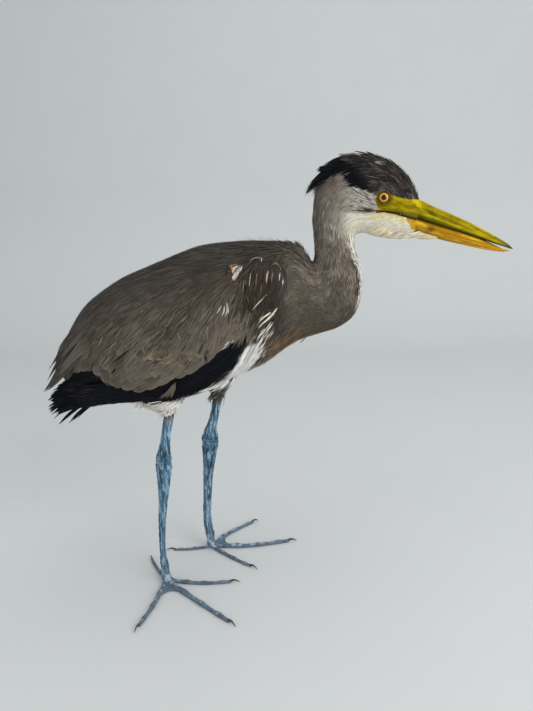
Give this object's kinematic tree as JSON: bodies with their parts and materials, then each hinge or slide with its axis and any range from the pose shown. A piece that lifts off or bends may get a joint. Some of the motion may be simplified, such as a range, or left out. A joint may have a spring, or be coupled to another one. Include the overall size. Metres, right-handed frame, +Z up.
{
  "type": "mounted grey heron model",
  "caption": "Still life-size model of a young grey heron standing on both feet, neck drawn up, bill level, wings folded.",
  "frame": {"origin": "bottom centre of the bird's box, on the floor under its feet", "axes": "+Z up, +X the way the bird faces, +Y to its left"},
  "size_m": [0.5084, 0.2536, 0.461],
  "materials": {
    "back_plumage": "matte",
    "wing_plumage": "matte",
    "flight_plumage": "satin",
    "neck_plumage": "matte",
    "head_plumage": "matte",
    "belly_plumage": "matte",
    "bill_upper_sheath": "satin",
    "bill_lower_sheath": "satin",
    "eye": "gloss",
    "leg_skin": "satin",
    "claw": "satin"
  },
  "bodies": {
    "root": {"bill_lower": "bill_lower_sheath", "bill_upper": "bill_upper_sheath", "claw_hind_left": "claw", "claw_hind_right": "claw", "claw_inner_left": "claw", "claw_inner_right": "claw", "claw_middle_left": "claw", "claw_middle_right": "claw", "claw_outer_left": "claw", "claw_outer_right": "claw", "crest": "head_plumage", "eye_left": "eye", "eye_right": "eye", "flight_feathers_left": "flight_plumage", "flight_feathers_right": "flight_plumage", "foot_left": "leg_skin", "foot_right": "leg_skin", "head": "head_plumage", "neck_lower": "neck_plumage", "neck_upper": "neck_plumage", "tail": "flight_plumage", "tarsus_left": "leg_skin", "tarsus_right": "leg_skin", "thigh_left": "belly_plumage", "thigh_right": "belly_plumage", "tibia_left": "leg_skin", "tibia_right": "leg_skin", "toe_hind_left": "leg_skin", "toe_hind_right": "leg_skin", "toe_inner_left": "leg_skin", "toe_inner_right": "leg_skin", "toe_middle_left": "leg_skin", "toe_middle_right": "leg_skin", "toe_outer_left": "leg_skin", "toe_outer_right": "leg_skin", "trunk": "back_plumage", "wing_left": "wing_plumage", "wing_right": "wing_plumage"}
  },
  "joints": []
}
